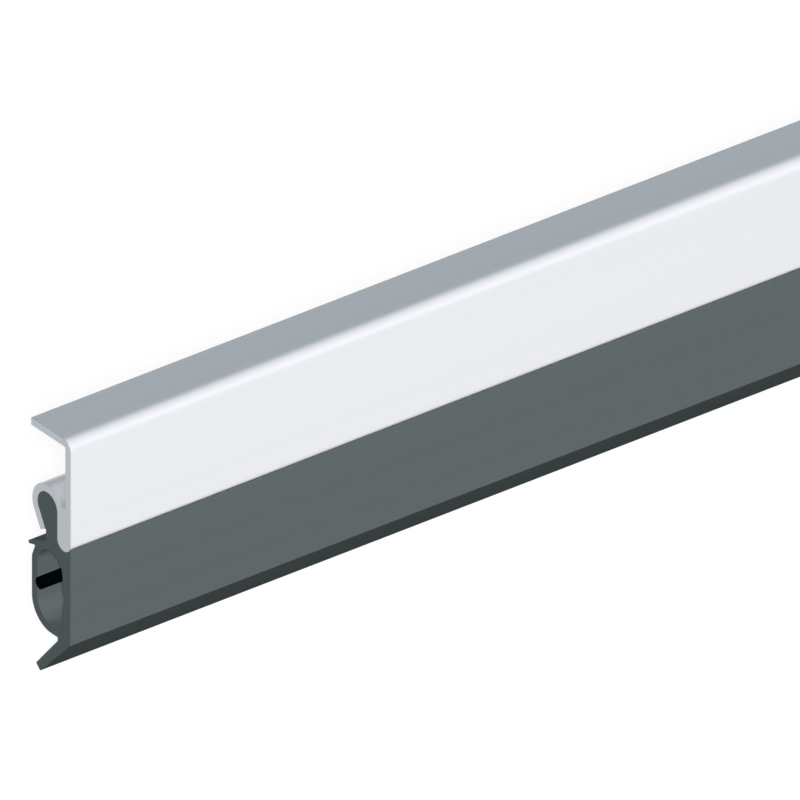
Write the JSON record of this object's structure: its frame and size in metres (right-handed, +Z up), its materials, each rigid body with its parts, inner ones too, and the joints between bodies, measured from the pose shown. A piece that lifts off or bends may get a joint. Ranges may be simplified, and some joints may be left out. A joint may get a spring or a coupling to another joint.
{
  "type": "door draught strip",
  "caption": "Aluminium strip with a flat front, a top flange and a rear hook that grips a hollow dark grey rubber seal with a thin rear fin and a sloping lip below.",
  "frame": {"origin": "on the back edge of the top flange, where the strip meets the door's face, half way along the strip and half way up the edge", "axes": "+X along the strip, to the right as seen from its front; +Y from the strip's front back into the door; +Z up"},
  "size_m": [1, 0.0111, 0.0459],
  "materials": {
    "anodised_aluminium": "satin anodised",
    "grey_rubber": "matte, extruded",
    "black_cord": "matte"
  },
  "bodies": {
    "root": {"aluminium_carrier": "anodised_aluminium", "rubber_seal": "grey_rubber", "bulb_cord": "black_cord"}
  },
  "joints": []
}
